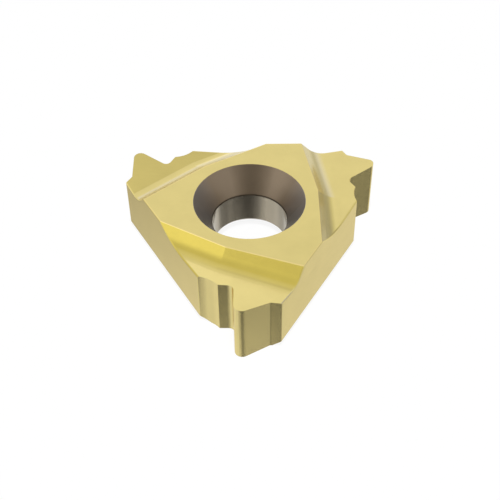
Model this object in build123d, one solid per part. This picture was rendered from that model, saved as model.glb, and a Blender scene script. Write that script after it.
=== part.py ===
from build123d import *
import os
from math import cos, radians, sin, tan

# Lay-down threading insert: one solid of coated carbide, pressed as a three-sided plate
# and ground to a thread profile at each of its three corners. Millimetres, +Z up.
# The origin is on the screw hole's axis, at the underside. The first corner feeds along +X,
# and the other two follow every 120 degrees. The wall behind the first tooth faces +Y.
# Setbacks are measured along the infeed, from the plate's sharp corner before grinding.

# Plate
inscribed_circle = 9.525
thickness = 3.64
bevel_inset = 0.41
bevel_height = 0.31
corners = 3

# Hole for the clamping screw
bore_diameter = 4.0
rim_diameter = 5.9
countersink_depth = 1.405
underside_chamfer = 0.48

# Tooth: a full-profile 60 degree form, with its axis square to the thread
flank_angle = 30.0
tooth_inset = 1.5125
tip_setback = 1.455
tip_radius = 0.385

# Heel between the wall and the first flank
heel_setback = 3.075
heel_width = 0.4925
heel_radius = 0.13

# Root, ridge and hollow relief between the second flank and the next wall
root_offset = 1.08
root_radius = 0.32
ridge_offset = 1.756
ridge_setback = 2.565
relief_run = 5.12
relief_radius = 1.55

# Chip groove: a rake face that rises to the tip, under a wall of two facets
rake_angle = 10.0
tip_drop = 0.25
rim_land = 0.667
facet_angle = 45.0
facet_turn = 10.3
crease_offset = 0.73
groove_radius = 1.15

# Rounding of the plate's own edges. The ground cutting edges stay keen.
edge_radius = 0.08

wall = inscribed_circle / 2
pitch_angle = 360 / corners
sharp_corner = Vector(wall * tan(radians(pitch_angle / 2)), wall)
tip_reach = sharp_corner.X - tip_setback
tooth_axis = wall - tooth_inset
groove_reach = rim_diameter / 2 + rim_land


def corner_profile():
    """One ground corner in plan, clockwise from the wall behind the tooth to the next."""
    rise = 1 / tan(radians(flank_angle))
    apex = tip_reach + tip_radius * (1 / sin(radians(flank_angle)) - 1)
    shoulder_offset = tooth_inset - heel_width
    along_next_wall = Vector(0, -1).rotate(Axis.Z, 90 - pitch_angle)
    heel = Vector(sharp_corner.X - heel_setback, wall)
    shoulder = Vector(apex - shoulder_offset * rise, tooth_axis + shoulder_offset)
    sharp_tip = Vector(apex, tooth_axis)
    root = Vector(apex - root_offset * rise, tooth_axis - root_offset)
    ridge = Vector(sharp_corner.X - ridge_setback, tooth_axis - ridge_offset)
    relief_end = sharp_corner + along_next_wall * relief_run
    radii = [heel_radius, tip_radius, root_radius]
    tooth = FilletPolyline(heel, shoulder, sharp_tip, root, ridge, radius=radii)
    relief = RadiusArc(ridge, relief_end, -relief_radius)
    return Wire([*tooth.edges(), *relief.edges()])


def ground_outline():
    """The whole plan outline: the corner profile at each corner, joined by the walls."""
    profile = corner_profile()
    profiles = [profile.rotate(Axis.Z, -index * pitch_angle) for index in range(corners)]
    edges = []
    for index, here in enumerate(profiles):
        following = profiles[(index + 1) % corners]
        edges += here.edges()
        edges.append(Edge.make_line(here @ 1, following @ 0))
    return make_face(edges)


def pressed_plate():
    """The three-sided plate with sharp corners and a bevel round its underside."""
    triangle = RegularPolygon(wall, corners, major_radius=False, rotation=90 - pitch_angle / 2)
    plate = extrude(triangle, thickness)
    underside = plate.faces().sort_by(Axis.Z)[0]
    return chamfer(underside.edges(), bevel_inset, bevel_height, reference=underside)


def chip_groove():
    """The space over one rake face, bounded by the facets and rounded at their foot."""
    reach = 2 * inscribed_circle
    tilt = radians(rake_angle)
    lean = radians(facet_angle)
    rake_face = Plane(
        origin=(tip_reach, 0, thickness - tip_drop),
        x_dir=(cos(tilt), 0, sin(tilt)),
        z_dir=(-sin(tilt), 0, cos(tilt)),
    )
    above = rake_face * Box(reach, reach, reach, align=(Align.CENTER, Align.CENTER, Align.MIN))
    crease = Vector(groove_reach, crease_offset, thickness)
    space = Part()
    for turn in (0, facet_turn):
        outward = Vector(sin(lean), 0, cos(lean)).rotate(Axis.Z, turn)
        space += split(above, Plane(crease, z_dir=outward), keep=Keep.TOP)
    floor = space.faces().filter_by(rake_face).sort_by(Axis.Z)[0]
    foot_edges = floor.edges().sort_by(Axis.X)[:2]
    return fillet(foot_edges, groove_radius)


def screw_hole():
    """The bore with its countersink for the screw head and a chamfer at the underside."""
    radius = bore_diameter / 2
    upward = (Align.CENTER, Align.CENTER, Align.MIN)
    bore = Cylinder(radius, thickness, align=upward)
    seat = Cone(radius, rim_diameter / 2, countersink_depth, align=upward)
    relief = Cone(radius + underside_chamfer, radius, underside_chamfer, align=upward)
    return bore + Pos(0, 0, thickness - countersink_depth) * seat + relief


def plate_edges(solid):
    """The edges of the side walls above the bevel, and the straight edges of the land."""
    land = solid.faces().sort_by(Axis.Z)[-1]
    edges = set(land.edges().filter_by(GeomType.LINE))
    for face in solid.faces().filter_by(GeomType.PLANE):
        outward = face.normal_at()
        if abs(outward.Z) < 0.001 and abs(outward.dot(face.center()) - wall) < 0.001:
            edges.update(edge for edge in face.edges() if edge.center().Z > 2 * bevel_height)
    return list(edges)


insert = pressed_plate() & extrude(ground_outline(), thickness)
insert -= PolarLocations(0, corners) * chip_groove()
insert -= screw_hole()
insert = fillet(plate_edges(insert), edge_radius)
insert.label = "threading_insert"

os.makedirs("parts", exist_ok=True)
export_step(insert, "parts/threading_insert.step")
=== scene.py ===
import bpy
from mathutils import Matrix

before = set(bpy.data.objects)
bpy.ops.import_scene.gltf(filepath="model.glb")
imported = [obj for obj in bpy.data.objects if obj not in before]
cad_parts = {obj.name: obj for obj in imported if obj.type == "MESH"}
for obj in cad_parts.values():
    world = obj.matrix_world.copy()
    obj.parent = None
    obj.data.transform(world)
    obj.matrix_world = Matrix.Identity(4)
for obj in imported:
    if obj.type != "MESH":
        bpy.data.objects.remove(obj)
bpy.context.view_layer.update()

import math

import bpy
from mathutils import Matrix, Vector

# Insert
# A cutting insert for threads, one piece of cemented carbide: pressed to a three-sided plate,
# sintered, ground on its side walls and thread profiles, and coated with titanium nitride. The
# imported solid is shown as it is, and gets its finish here.
MM = 0.001
THICKNESS = 3.64
WALL_DISTANCE = 4.7625
WALL_AZIMUTHS = 90, 210, 330
CORNER_DISTANCE = 2.5
HOLE_REACH = 3.0
BORE_TOP = 2.235

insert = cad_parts["threading_insert"]


def linear(hex_colour):
    """An sRGB hex colour as linear RGBA."""
    channels = [int(hex_colour[i:i + 2], 16) / 255 for i in (1, 3, 5)]
    straight = [c / 12.92 if c <= 0.04045 else ((c + 0.055) / 1.055) ** 2.4 for c in channels]
    return (*straight, 1.0)


def direction(azimuth, elevation=0.0):
    """The unit vector to an azimuth, 0 along +X and 90 along +Y, and an elevation."""
    turn, lift = math.radians(azimuth), math.radians(elevation)
    level = math.cos(lift)
    return Vector((math.cos(turn) * level, math.sin(turn) * level, math.sin(lift)))


def node(tree, kind, inputs=None, **settings):
    """Adds a node with its settings. An input gets a value, or the socket that feeds it, or the
    node whose first output in use feeds it."""
    made = tree.nodes.new("ShaderNode" + kind)
    for name, value in settings.items():
        setattr(made, name, value)
    for name, value in (inputs or {}).items():
        if isinstance(value, bpy.types.Node):
            value = next(output for output in value.outputs if output.enabled)
        if isinstance(value, bpy.types.NodeSocket):
            tree.links.new(value, made.inputs[name])
        else:
            made.inputs[name].default_value = value
    return made


# Titanium nitride over fine-ground carbide is a metal. It gives the eye a satin pale gold with
# soft, slightly streaked reflections. The screw hole isn't ground: its sintered skin stays grey
# and matt, and its bore is smoother than the seat for the screw's head.
finish = bpy.data.materials.new("titanium_nitride_on_ground_carbide")
finish.use_nodes = True
tree = finish.node_tree
tree.nodes.clear()

# A point's place in millimetres, and how its face stands: the upward part of a normal is 1 on a
# level face and 0 on an upright one. The true normal is the facet's own, and the smooth one turns
# evenly along fillets and cones.
metres = node(tree, "TexCoord").outputs["Object"]
place = node(tree, "Mapping", {"Vector": metres, "Scale": (1 / MM, 1 / MM, 1 / MM)})
height = node(tree, "SeparateXYZ", {"Vector": place}).outputs["Z"]
shape = node(tree, "NewGeometry").outputs
smooth = shape["Normal"]
upward = node(tree, "SeparateXYZ", {"Vector": shape["True Normal"]}).outputs["Z"]
smooth_upward = node(tree, "SeparateXYZ", {"Vector": smooth}).outputs["Z"]
level_part = node(tree, "Math", {0: upward}, operation="ABSOLUTE")

# The hole is all that lies near the axis and isn't level. Its seat is above its bore.
LEVEL_FROM = 0.9
in_plan = node(tree, "VectorMath", {0: place, 1: (1, 1, 0)}, operation="MULTIPLY")
from_axis = node(tree, "VectorMath", {0: in_plan}, operation="LENGTH")
near_axis = node(tree, "Math", {0: from_axis, 1: HOLE_REACH}, operation="LESS_THAN")
not_level = node(tree, "Math", {0: level_part, 1: LEVEL_FROM}, operation="LESS_THAN")
in_hole = node(tree, "Math", {0: near_axis, 1: not_level}, operation="MULTIPLY")
in_seat = node(tree, "Math", {0: height, 1: BORE_TOP}, operation="GREATER_THAN")

# A side wall is an upright face at the wall's distance. The other upright faces are profiles.
UPRIGHT_UP_TO = 0.3
WALL_SLACK = 0.004
upright = node(tree, "Math", {0: level_part, 1: UPRIGHT_UP_TO}, operation="LESS_THAN")
farthest = 0.0
for azimuth in WALL_AZIMUTHS:
    reach = node(tree, "VectorMath", {0: place, 1: direction(azimuth)}, operation="DOT_PRODUCT")
    farthest = node(tree, "Math", {0: reach, 1: farthest}, operation="MAXIMUM")
wall_start = WALL_DISTANCE - WALL_SLACK
at_wall = node(tree, "Math", {0: farthest, 1: wall_start}, operation="GREATER_THAN")
on_wall = node(tree, "Math", {0: at_wall, 1: upright}, operation="MULTIPLY")

# Painted reflection: the sloping faces of the near corner's groove get a richer gold, the more
# they face that corner's side, in place of the pale sheen that the other grooves show.
NEAR_SIDE = 240
RICH_FROM, RICH_IN_FULL = -0.17, 0.35
STEEP, SLOPING = 0.4, 0.5
LAND_DEPTH = 0.03
near_side = direction(NEAR_SIDE)
to_near_side = node(tree, "VectorMath", {0: smooth, 1: near_side}, operation="DOT_PRODUCT")
facing_near_side = node(tree, "MapRange", {
    "Value": to_near_side,
    "From Min": RICH_FROM,
    "From Max": RICH_IN_FULL,
})
not_upright = node(tree, "MapRange", {
    "Value": smooth_upward,
    "From Min": STEEP,
    "From Max": SLOPING,
})
on_side = node(tree, "VectorMath", {0: place, 1: near_side}, operation="DOT_PRODUCT")
at_corner = node(tree, "Math", {0: on_side, 1: CORNER_DISTANCE}, operation="GREATER_THAN")
below_land = node(tree, "Math", {0: height, 1: THICKNESS - LAND_DEPTH}, operation="LESS_THAN")
painted_rich = node(tree, "Math", {0: not_upright, 1: facing_near_side}, operation="MULTIPLY")
painted_rich = node(tree, "Math", {0: painted_rich, 1: at_corner}, operation="MULTIPLY")
painted_rich = node(tree, "Math", {0: painted_rich, 1: below_land}, operation="MULTIPLY")

# Painted reflection: in the two far grooves the rake face that leans to the front is painted a
# little richer.
RAKE_SIDE = 300
RAKE_FROM, RAKE_IN_FULL = 0.12, 0.165
RAKE_RICHNESS = 0.35
elsewhere = node(tree, "Math", {0: below_land, 1: at_corner}, operation="SUBTRACT", use_clamp=True)
in_groove = node(tree, "Math", {0: elsewhere, 1: not_upright}, operation="MULTIPLY")
to_rake = node(tree, "VectorMath", {0: smooth, 1: direction(RAKE_SIDE)}, operation="DOT_PRODUCT")
richer = node(tree, "MapRange", {
    "Value": to_rake,
    "From Min": RAKE_FROM,
    "From Max": RAKE_IN_FULL,
    "To Max": RAKE_RICHNESS,
})
richer = node(tree, "Math", {0: richer, 1: not_upright}, operation="MULTIPLY")
richer = node(tree, "Math", {0: richer, 1: in_groove}, operation="MULTIPLY")
painted_rich = node(tree, "Math", {0: painted_rich, 1: richer}, operation="MAXIMUM")

# Painted reflection: a pale grey sheen is painted into the colour, in the far grooves on the walls
# that face the back, and elsewhere on whatever leans. Upright faces are hardly greyer at all.
GREY_SIDE = 78
GREY_FROM, GREY_IN_FULL = 0.05, 0.14
LEANS_FROM, LEANS_IN_FULL = 0.98, 0.93
UPRIGHT_SHADE = 0.22
to_grey_side = node(tree, "VectorMath", {0: smooth, 1: direction(GREY_SIDE)}, operation="DOT_PRODUCT")
turned = node(tree, "MapRange", {
    "Value": to_grey_side,
    "From Min": GREY_FROM,
    "From Max": GREY_IN_FULL,
})
leaning = node(tree, "MapRange", {
    "Value": smooth_upward,
    "From Min": LEANS_FROM,
    "From Max": LEANS_IN_FULL,
})
amount = node(tree, "MapRange", {"Value": not_upright, "To Min": UPRIGHT_SHADE, "To Max": 1.0})
shaded = node(tree, "Mix", {"Factor": in_groove, "A": leaning, "B": turned})
shaded = node(tree, "Math", {0: shaded, 1: amount}, operation="MULTIPLY")

# Painted highlight: the land's rounded edges are painted a brighter, paler gold.
HIGHLIGHT_UP_TO = 0.998
off_land = node(tree, "Math", {0: smooth_upward, 1: HIGHLIGHT_UP_TO}, operation="LESS_THAN")
painted_highlight = node(tree, "Math", {0: off_land, 1: below_land}, operation="SUBTRACT", use_clamp=True)

# PALE_GOLD is the coat's own colour; the other three are painted: a pale sheen, a richer
# reflection and an edge highlight.
PALE_GOLD = linear("#DCCB85")
SHADED_GOLD = linear("#DED1A4")
PAINTED_RICH_GOLD = linear("#C9B657")
HIGHLIGHT_GOLD = linear("#E5D18C")
coat = node(tree, "Mix", {"Factor": shaded, "A": PALE_GOLD, "B": SHADED_GOLD}, data_type="RGBA")
coat = node(tree, "Mix", {"Factor": painted_rich, "A": coat, "B": PAINTED_RICH_GOLD}, data_type="RGBA")
coat = node(tree, "Mix", {"Factor": painted_highlight, "A": coat, "B": HIGHLIGHT_GOLD}, data_type="RGBA")

# Inside the hole the back of the seat, which faces the front, is brown, and its middle is darkened
# further with painted shade. The rest of the seat and the bore stay grey.
SEAT_GREY = linear("#A8A4A1")
SEAT_BROWN = linear("#857663")
SEAT_SHADE = linear("#6D5F4D")
BORE_GREY = linear("#AEA592")
SEAT_SIDE = 267
BROWN_FROM, BROWN_IN_FULL = -0.1, 0.5
DARK_FROM, DARK_IN_FULL = 0.74, 0.83
to_front = node(tree, "VectorMath", {0: smooth, 1: direction(SEAT_SIDE)}, operation="DOT_PRODUCT")
brown = node(tree, "MapRange", {
    "Value": to_front,
    "From Min": BROWN_FROM,
    "From Max": BROWN_IN_FULL,
})
seat_shade = node(tree, "MapRange", {
    "Value": to_front,
    "From Min": DARK_FROM,
    "From Max": DARK_IN_FULL,
})
seat = node(tree, "Mix", {"Factor": brown, "A": SEAT_GREY, "B": SEAT_BROWN}, data_type="RGBA")
seat = node(tree, "Mix", {"Factor": seat_shade, "A": seat, "B": SEAT_SHADE}, data_type="RGBA")
hole = node(tree, "Mix", {"Factor": in_seat, "A": BORE_GREY, "B": seat}, data_type="RGBA")

# Painted shade: the edge between seat and bore shows as a thin dark line.
EDGE_SHADE = linear("#3A3228")
LINE_HALF_WIDTH, LINE_END = 0.03, 0.06
LINE_DARKNESS = 0.8
above_bore = node(tree, "Math", {0: height, 1: BORE_TOP}, operation="SUBTRACT")
off_edge = node(tree, "Math", {0: above_bore}, operation="ABSOLUTE")
edge_shade = node(tree, "MapRange", {
    "Value": off_edge,
    "From Min": LINE_HALF_WIDTH,
    "From Max": LINE_END,
    "To Min": LINE_DARKNESS,
    "To Max": 0.0,
})
hole = node(tree, "Mix", {"Factor": edge_shade, "A": hole, "B": EDGE_SHADE}, data_type="RGBA")
colour = node(tree, "Mix", {"Factor": in_hole, "A": coat, "B": hole}, data_type="RGBA")

# The tone is cloudy, about a millimetre across, by a few parts in a hundred.
CLOUDS_PER_MM = 0.9
CLOUD_TONE = 0.025
NOISE_LOW, NOISE_HIGH = 0.3, 0.7
cloud = node(tree, "TexNoise", {
    "Vector": place,
    "Scale": CLOUDS_PER_MM,
    "Detail": 3.0,
    "Roughness": 0.55,
})
tone = node(tree, "MapRange", {
    "Value": cloud,
    "From Min": NOISE_LOW,
    "From Max": NOISE_HIGH,
    "To Min": 1 - CLOUD_TONE,
    "To Max": 1 + CLOUD_TONE,
})
colour = node(tree, "VectorMath", {0: colour, "Scale": tone}, operation="SCALE")

# Grinding lines are really about 0.01 mm apart. They are drawn 0.07 mm apart, to show at all:
# level on the side walls, upright on the thread profile, and straight across the flat faces.
LINE_SPACING = 0.07
LINE_LENGTH = 2.0
fine, long = 1 / LINE_SPACING, 1 / LINE_LENGTH
level_lines = node(tree, "Mapping", {"Vector": place, "Scale": (long, long, fine)})
upright_lines = node(tree, "Mapping", {"Vector": place, "Scale": (fine, fine, long)})
flat_lines = node(tree, "Mapping", {"Vector": place, "Scale": (long, fine, fine)})
run = node(tree, "Mix", {
    "Factor": upright,
    "A": flat_lines,
    "B": upright_lines,
}, data_type="VECTOR")
run = node(tree, "Mix", {"Factor": on_wall, "A": run, "B": level_lines}, data_type="VECTOR")
lines = node(tree, "TexNoise", {
    "Vector": run,
    "Scale": 1.0,
    "Detail": 2.0,
    "Roughness": 0.6,
})

# The sintered grain, about a thousandth of a millimetre, is drawn 0.05 mm across.
GRAIN_SIZE = 0.05
grain = node(tree, "TexNoise", {"Vector": place, "Scale": 1 / GRAIN_SIZE, "Detail": 1.0})
relief = node(tree, "Mix", {"Factor": in_hole, "A": lines, "B": grain})

# The pressed faces of the grooves are a little rougher than the ground ones. In the hole the bore
# is smooth and the seat is the roughest. The lines and the grain vary it.
GROUND_ROUGHNESS, PRESSED_ROUGHNESS = 0.2, 0.24
BORE_ROUGHNESS, SEAT_ROUGHNESS = 0.14, 0.35
ROUGHNESS_SPREAD = 0.03
pressed = node(tree, "Math", {0: leaning, 1: not_upright}, operation="MULTIPLY")
coat_roughness = node(tree, "MapRange", {
    "Value": pressed,
    "To Min": GROUND_ROUGHNESS,
    "To Max": PRESSED_ROUGHNESS,
})
hole_roughness = node(tree, "MapRange", {
    "Value": in_seat,
    "To Min": BORE_ROUGHNESS,
    "To Max": SEAT_ROUGHNESS,
})
roughness = node(tree, "Mix", {"Factor": in_hole, "A": coat_roughness, "B": hole_roughness})
spread = node(tree, "MapRange", {
    "Value": relief,
    "From Min": NOISE_LOW,
    "From Max": NOISE_HIGH,
    "To Min": -ROUGHNESS_SPREAD,
    "To Max": ROUGHNESS_SPREAD,
})
roughness = node(tree, "Math", {0: roughness, 1: spread}, operation="ADD")

# The ground edges are keen and catch only a hair of light. Those in the hole are rounder.
KEEN_EDGE, HOLE_EDGE = 0.02 * MM, 0.08 * MM
RELIEF_DEPTH = 0.0006 * MM
edge = node(tree, "MapRange", {"Value": in_hole, "To Min": KEEN_EDGE, "To Max": HOLE_EDGE})
rounded = node(tree, "Bevel", {"Radius": edge}, samples=6)
normal = node(tree, "Bump", {
    "Height": relief,
    "Strength": 1.0,
    "Distance": RELIEF_DEPTH,
    "Normal": rounded,
})

# At grazing angles the upright faces stay faintly gold, and all else turns white. The skin of the
# hole is partly bare carbide, and a little less of a metal to the eye.
GRAZING_GOLD = linear("#FAF2DD")
WHITE = 1, 1, 1, 1
HOLE_METAL = 0.88
pale_edge = node(tree, "Math", {0: in_hole, 1: not_upright}, operation="MAXIMUM")
grazing = node(tree, "Mix", {
    "Factor": pale_edge,
    "A": GRAZING_GOLD,
    "B": WHITE,
}, data_type="RGBA")
metal_share = node(tree, "MapRange", {"Value": in_hole, "To Min": 1.0, "To Max": HOLE_METAL})
surface = node(tree, "BsdfPrincipled", {
    "Base Color": colour,
    "Specular Tint": grazing,
    "Metallic": metal_share,
    "Roughness": roughness,
    "Normal": normal,
})
node(tree, "OutputMaterial", {"Surface": surface})
insert.data.materials.clear()
insert.data.materials.append(finish)

# Floor
# A sheet of matt white paper, laid flat, that the insert's underside rests on. The camera sees it
# almost pure white, with the insert's soft shadow, and no reflection shows it.
FLOOR_WHITE = linear("#FCFCFC")
FLOOR_REACH = 1.5
BACKGROUND_SHARE = 0.9
SQUARE = (-1, -1), (1, -1), (1, 1), (-1, 1)

floor_mesh = bpy.data.meshes.new("floor")
corners = [(x * FLOOR_REACH, y * FLOOR_REACH, 0) for x, y in SQUARE]
floor_mesh.from_pydata(corners, [], [(0, 1, 2, 3)])
floor = bpy.data.objects.new("floor", floor_mesh)
bpy.context.scene.collection.objects.link(floor)
floor.visible_glossy = False


def seen(tree):
    """A node that is 1 on what is seen directly, in a reflection or through glass, and 0 for the
    light that falls on the insert."""
    ray = node(tree, "LightPath").outputs
    mirrored = {0: ray["Is Camera Ray"], 1: ray["Is Glossy Ray"]}
    either = node(tree, "Math", mirrored, operation="MAXIMUM")
    return node(tree, "Math", {0: either, 1: ray["Is Transmission Ray"]}, operation="MAXIMUM")


# Bleached paper is matt. Most of what the camera sees of it is plain white, as the photograph's
# background is, and the rest is lit and keeps the shadow.
paper = bpy.data.materials.new("white_paper")
paper.use_nodes = True
tree = paper.node_tree
tree.nodes.clear()
share = node(tree, "Math", {0: seen(tree), 1: BACKGROUND_SHARE}, operation="MULTIPLY")
lit = node(tree, "BsdfDiffuse", {"Color": FLOOR_WHITE})
plain = node(tree, "Emission", {"Strength": 1.0})
surface = node(tree, "MixShader", {0: share, 1: lit, 2: plain})
node(tree, "OutputMaterial", {"Surface": surface})
floor_mesh.materials.append(paper)

# Studio
# White surroundings, and one broad lamp overhead that lights the floor. A metal shows what stands
# round it, so soft-edged cards, which only reflections show, stand for the bright and dark parts
# of a real studio. The low ones are what the side walls and the profiles mirror from below.
ROOM_LIGHT = 0.25
LAMP_RADIUS = 120 * MM
LAMP_DISTANCE = 900 * MM
LAMP_AZIMUTH, LAMP_ELEVATION = 270, 78
LAMP_POWER = 6.6
CARD_DISTANCE = 400 * MM
CARD_FADE = 0.7

world = bpy.data.worlds.new("studio")
world.use_nodes = True
bpy.context.scene.world = world
tree = world.node_tree
tree.nodes.clear()
lighting = node(tree, "Background", {"Color": WHITE, "Strength": ROOM_LIGHT})
shown = node(tree, "Background", {"Color": WHITE, "Strength": 1.0})
sky = node(tree, "MixShader", {0: seen(tree), 1: lighting, 2: shown})
node(tree, "OutputWorld", {"Surface": sky})

lamp_data = bpy.data.lights.new("overhead", "AREA")
lamp_data.shape = "DISK"
lamp_data.size = 2 * LAMP_RADIUS
lamp_data.energy = LAMP_POWER
lamp = bpy.data.objects.new("overhead", lamp_data)
bpy.context.scene.collection.objects.link(lamp)
to_lamp = direction(LAMP_AZIMUTH, LAMP_ELEVATION)
lamp.location = to_lamp * LAMP_DISTANCE
lamp.rotation_euler = to_lamp.to_track_quat("Z", "Y").to_euler()
lamp.visible_glossy = False


def card(name, azimuth, elevation, half_width, half_height, glow=0.0, shade=0.0):
    """A soft-edged card that faces the insert and shows only in its reflections.
    Its size is in degrees. It adds glow to the white behind it, or takes shade from it."""
    mesh = bpy.data.meshes.new(name)
    mesh.from_pydata([(x, y, 0) for x, y in SQUARE], [], [(0, 1, 2, 3)])
    made = bpy.data.objects.new(name, mesh)
    bpy.context.scene.collection.objects.link(made)
    outward = direction(azimuth, elevation)
    made.location = outward * CARD_DISTANCE
    made.rotation_euler = outward.to_track_quat("Z", "Y").to_euler()
    width = math.tan(math.radians(half_width)) * CARD_DISTANCE
    tall = math.tan(math.radians(half_height)) * CARD_DISTANCE
    made.scale = (width, tall, 1)
    made.visible_camera = made.visible_diffuse = made.visible_transmission = False
    made.visible_shadow = made.visible_volume_scatter = False
    look = bpy.data.materials.new(name)
    look.use_nodes = True
    tree = look.node_tree
    tree.nodes.clear()
    across = node(tree, "TexCoord").outputs["Object"]
    middle = node(tree, "TexGradient", {"Vector": across}, gradient_type="SPHERICAL")
    soft = node(tree, "MapRange", {
        "Value": middle.outputs["Fac"],
        "From Max": CARD_FADE,
    }, interpolation_type="SMOOTHSTEP")
    kept = 1 - shade
    passed = node(tree, "Mix", {
        "Factor": soft,
        "A": WHITE,
        "B": (kept, kept, kept, 1),
    }, data_type="RGBA")
    added = node(tree, "Math", {0: soft, 1: glow}, operation="MULTIPLY")
    behind = node(tree, "BsdfTransparent", {"Color": passed})
    light = node(tree, "Emission", {"Strength": added})
    both = node(tree, "AddShader", {0: behind, 1: light})
    node(tree, "OutputMaterial", {"Surface": both})
    mesh.materials.append(look)


# Bright cards
card("soft_box_left", 198, 36, 30, 30, glow=0.48)
card("soft_box_back", 90, 22, 18, 11, glow=0.35)

# Dark cards above the floor
card("flag_high_back", 66, 57, 24, 15, shade=0.2)
card("flag_right_back", 33, 11, 40, 28, shade=0.49)
card("flag_left_front", 242, 31, 19, 16, shade=0.1)
card("flag_overhead", 180, 68, 25, 14, shade=0.09)
card("flag_camera_side", 267, 9, 32, 43, shade=0.45)

# Dark cards below it
card("flag_camera_low", 272, -33, 49, 24, shade=0.9)
card("flag_front_low", 308, -47, 46, 25, shade=0.33)
card("flag_front_low_core", 282, -51, 23, 24, shade=0.28)
card("flag_right_low", 358, -38, 27, 23, shade=0.68)
card("flag_front_right_low", 316, -36, 24, 17, shade=0.68)
card("flag_left_front_low", 237, -41, 19, 18, shade=0.31)
card("flag_left_side_low", 201, -38, 26, 17, shade=0.16)
card("flag_left_low", 149, -28, 37, 25, shade=0.47)
card("flag_right_back_low", 38, -47, 25, 22, shade=0.08)

# Camera
# It looks down at the insert from the front, where the photograph was taken from. The hole is a
# little above the picture's middle.
CAMERA_TURN, CAMERA_ELEVATION, CAMERA_ROLL = 0.6, 44.409, -0.908
CAMERA_DISTANCE = 49.954 * MM
OFFSET_RIGHT, OFFSET_UP = 0.0326 * MM, -2.620 * MM
FOCAL_LENGTH, SENSOR_WIDTH = 68.81, 36

back = direction(CAMERA_TURN - 90, CAMERA_ELEVATION)
level = direction(CAMERA_TURN)
aloft = back.cross(level)
roll = math.radians(CAMERA_ROLL)
right = math.cos(roll) * level + math.sin(roll) * aloft
up = -math.sin(roll) * level + math.cos(roll) * aloft
lens = bpy.data.cameras.new("camera")
lens.lens = FOCAL_LENGTH
lens.sensor_width = SENSOR_WIDTH
lens.clip_start = 1 * MM
camera = bpy.data.objects.new("camera", lens)
bpy.context.scene.collection.objects.link(camera)
land_middle = Vector((0, 0, THICKNESS * MM))
stand = back * CAMERA_DISTANCE + right * OFFSET_RIGHT + up * OFFSET_UP + land_middle
camera.matrix_world = Matrix.Translation(stand) @ Matrix((right, up, back)).transposed().to_4x4()
bpy.context.scene.camera = camera
bpy.context.scene.view_settings.view_transform = "Standard"
